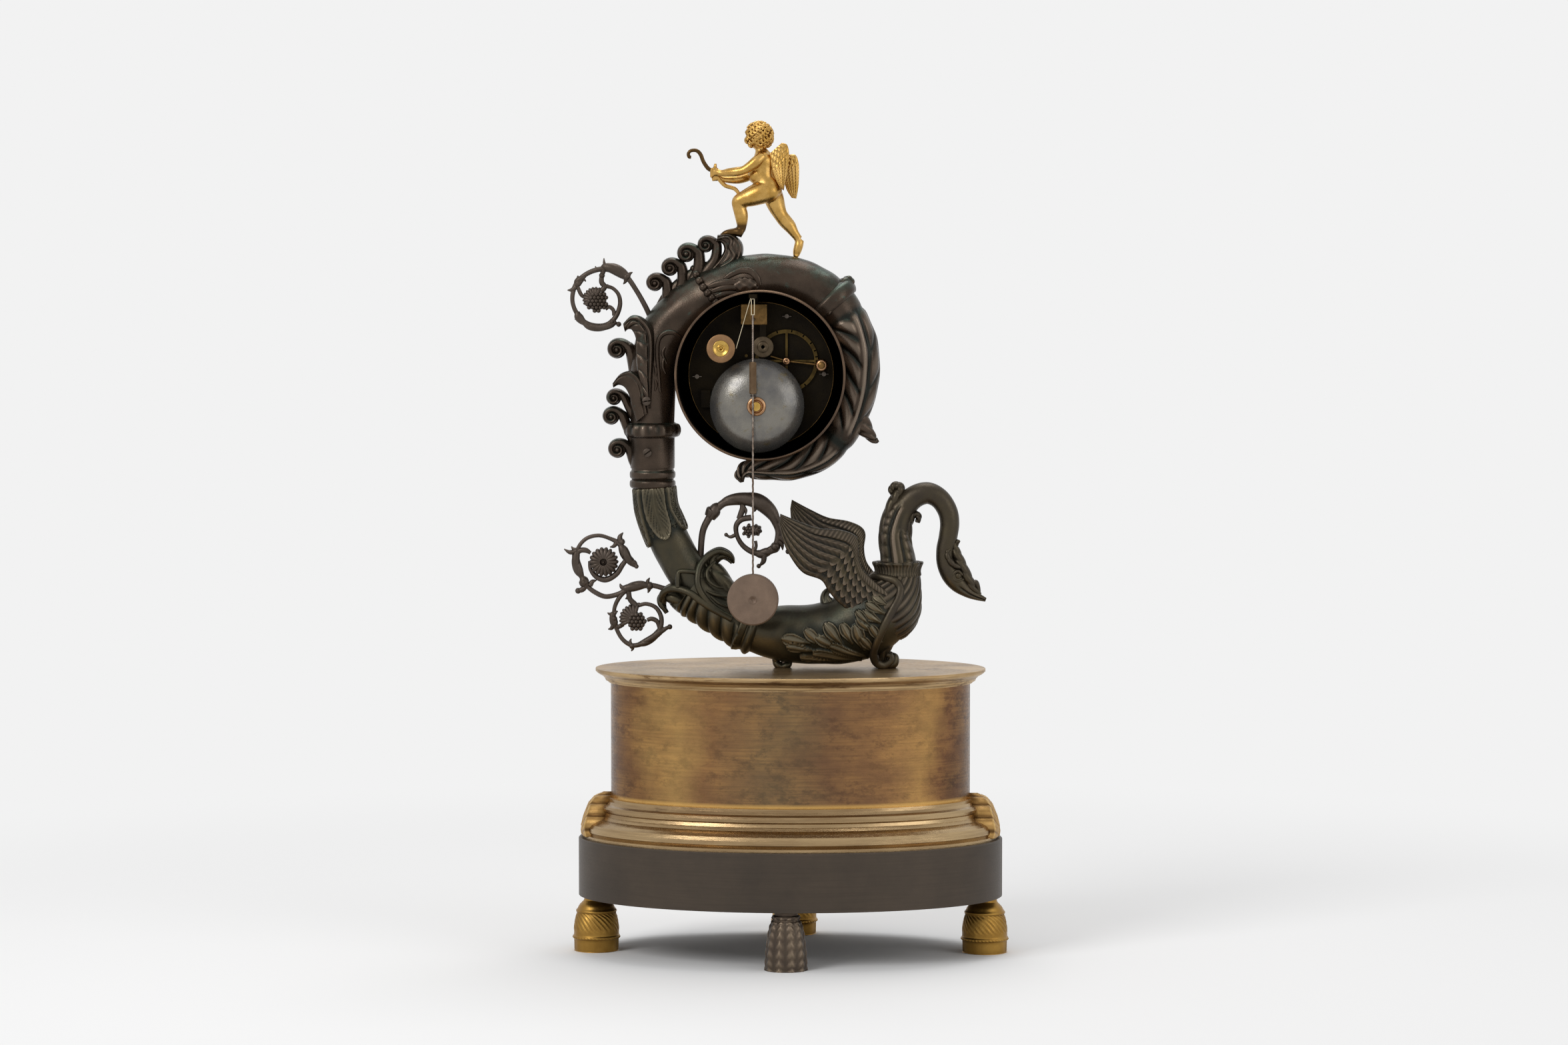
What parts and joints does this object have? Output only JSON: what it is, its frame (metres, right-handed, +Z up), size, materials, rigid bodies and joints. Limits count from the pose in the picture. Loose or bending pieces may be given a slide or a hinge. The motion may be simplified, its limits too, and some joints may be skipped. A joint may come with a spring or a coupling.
{
  "type": "figural mantel clock",
  "caption": "Mantel clock: gilt archer on a bronze horn that curls round an open-backed drum movement and ends in a swan, on an oval gilt base.",
  "frame": {"origin": "on the floor under the middle of the oval base", "axes": "+Z up, dial faces +Y, open back of the drum faces -Y, swan at +X"},
  "size_m": [0.2931, 0.1952, 0.5497],
  "materials": {
    "gilt_foot": "worn gilding, knurled band, polished cap",
    "dark_foot": "dark patinated brass",
    "plinth_brass": "aged satin brass",
    "moulding_gilt": "coppery worn gilding",
    "case_gilt": "worn gilding with dark wax and grime",
    "board_gilt": "matte gilding",
    "iron_bolt": "old iron",
    "upper_horn_bronze": "near-black patina",
    "lower_horn_bronze": "olive brown patina",
    "scroll_bronze": "rubbed grey-brown patina",
    "swan_bronze": "olive brown patina, chased feathers",
    "figure_gilt": "bright gilding, dark in the hollows",
    "screw_steel": "old steel",
    "drum_brass": "tarnished brass",
    "dial_enamel": "white enamel",
    "door_gilt": "gilt bezel",
    "door_glass": "clear",
    "plate_brass": "tarnished lacquered brass",
    "wheel_brass": "brass",
    "disc_brass": "tarnished brass",
    "bell_metal": "silvery bell metal",
    "hand_steel": "blued steel",
    "work_steel": "bare steel",
    "bob_metal": "matte oxidised metal",
    "silk": "silk thread"
  },
  "bodies": {
    "clock": {"foot_left": "gilt_foot", "foot_right": "gilt_foot", "foot_dial_side": "gilt_foot", "foot_back": "dark_foot", "plinth": "plinth_brass", "plinth_moulding": "moulding_gilt", "end_mounts": "moulding_gilt", "base_case": "case_gilt", "top_board": "board_gilt", "base_bolts": "iron_bolt", "horn_bolts": "iron_bolt", "horn_curl": "upper_horn_bronze", "horn_strap": "upper_horn_bronze", "tail_leaf": "upper_horn_bronze", "crest": "upper_horn_bronze", "side_ornaments": "upper_horn_bronze", "horn_sleeve": "upper_horn_bronze", "horn_tube": "lower_horn_bronze", "leaf_cup": "lower_horn_bronze", "acanthus_cup": "lower_horn_bronze", "horn_body": "lower_horn_bronze", "top_scroll": "scroll_bronze", "lower_scroll": "scroll_bronze", "inner_scroll": "scroll_bronze", "swan_breast": "swan_bronze", "breast_band": "swan_bronze", "swan_neck": "swan_bronze", "wing_near": "swan_bronze", "wing_far": "swan_bronze", "archer": "figure_gilt", "archer_wings": "figure_gilt", "bow": "figure_gilt", "horn_screws": "screw_steel", "drum_case": "drum_brass", "dial": "dial_enamel", "front_plate": "plate_brass", "back_plate": "plate_brass", "pillars": "plate_brass", "suspension_cock": "plate_brass", "bell": "bell_metal", "bell_stand": "work_steel", "silk_thread": "silk"},
    "dial_door": {"door_frame": "door_gilt", "door_glass": "door_glass"},
    "reel": {"silk_reel": "disc_brass"},
    "pendulum": {"silk_loop": "silk", "pendulum_rod": "work_steel", "pendulum_bob": "bob_metal"},
    "pallets": {"anchor": "work_steel"},
    "minute_arbor": {"centre_wheel": "wheel_brass", "minute_hand": "hand_steel"},
    "hour_pipe": {"hour_wheel": "wheel_brass", "hour_hand": "hand_steel"},
    "motion_wheel": {"minute_wheel": "wheel_brass"},
    "third_arbor": {"third_wheel": "wheel_brass"},
    "escape_arbor": {"escape_wheel": "wheel_brass"},
    "going_side": {"going_barrel": "wheel_brass"},
    "strike_side": {"strike_barrel": "wheel_brass"},
    "count_arbor": {"count_wheel": "wheel_brass"},
    "bell_hammer": {"hammer": "work_steel"}
  },
  "joints": [
    {"name": "door_hinge", "type": "hinge", "parent": "clock", "child": "dial_door", "pos_m": [0.042, 0.0368, 0.383], "axis": [0, 0, -1], "range_deg": [0, 110]},
    {"name": "reel_turn", "type": "hinge", "parent": "clock", "child": "reel", "pos_m": [-0.0446, -0.026, 0.4006], "axis": [0, 1, 0], "continuous": true},
    {"name": "pendulum_swing", "type": "hinge", "parent": "clock", "child": "pendulum", "pos_m": [-0.0234, -0.033, 0.4334], "axis": [0, 1, 0], "range_deg": [-3, 3]},
    {"name": "pallets_rock", "type": "hinge", "parent": "clock", "child": "pallets", "pos_m": [-0.0234, 0.01, 0.4195], "axis": [0, 1, 0], "range_deg": [-3.9, 3.9]},
    {"name": "minute_turn", "type": "hinge", "parent": "clock", "child": "minute_arbor", "pos_m": [-0.019, 0.038, 0.383], "axis": [0, 1, 0], "continuous": true},
    {"name": "hour_turn", "type": "hinge", "parent": "clock", "child": "hour_pipe", "pos_m": [-0.019, 0.036, 0.383], "axis": [0, 1, 0], "continuous": true},
    {"name": "motion_turn", "type": "hinge", "parent": "clock", "child": "motion_wheel", "pos_m": [-0.019, 0.03, 0.395], "axis": [0, 1, 0], "continuous": true},
    {"name": "third_turn", "type": "hinge", "parent": "clock", "child": "third_arbor", "pos_m": [-0.02878, 0, 0.39535], "axis": [0, 1, 0], "continuous": true},
    {"name": "escape_turn", "type": "hinge", "parent": "clock", "child": "escape_arbor", "pos_m": [-0.0175, 0.01, 0.4014], "axis": [0, 1, 0], "continuous": true},
    {"name": "going_turn", "type": "hinge", "parent": "clock", "child": "going_side", "pos_m": [-0.03749, 0.014, 0.36851], "axis": [0, 1, 0], "continuous": true},
    {"name": "strike_turn", "type": "hinge", "parent": "clock", "child": "strike_side", "pos_m": [0.00257, 0.014, 0.36817], "axis": [0, 1, 0], "continuous": true},
    {"name": "count_turn", "type": "hinge", "parent": "clock", "child": "count_arbor", "pos_m": [-0.0022, -0.009, 0.392], "axis": [0, 1, 0], "continuous": true},
    {"name": "hammer_lift", "type": "hinge", "parent": "clock", "child": "bell_hammer", "pos_m": [-0.0022, -0.011, 0.392], "axis": [0, 1, 0], "range_deg": [0, 45]}
  ],
  "couplings": [
    {"joint": "pallets_rock", "follows": "pendulum_swing", "ratio": 1.2797},
    {"joint": "going_turn", "follows": "minute_turn", "ratio": -0.16},
    {"joint": "third_turn", "follows": "minute_turn", "ratio": -6},
    {"joint": "escape_turn", "follows": "minute_turn", "ratio": 32.4},
    {"joint": "motion_turn", "follows": "minute_turn", "ratio": -0.33333},
    {"joint": "hour_turn", "follows": "minute_turn", "ratio": 0.083333},
    {"joint": "count_turn", "follows": "strike_turn", "ratio": -5}
  ]
}
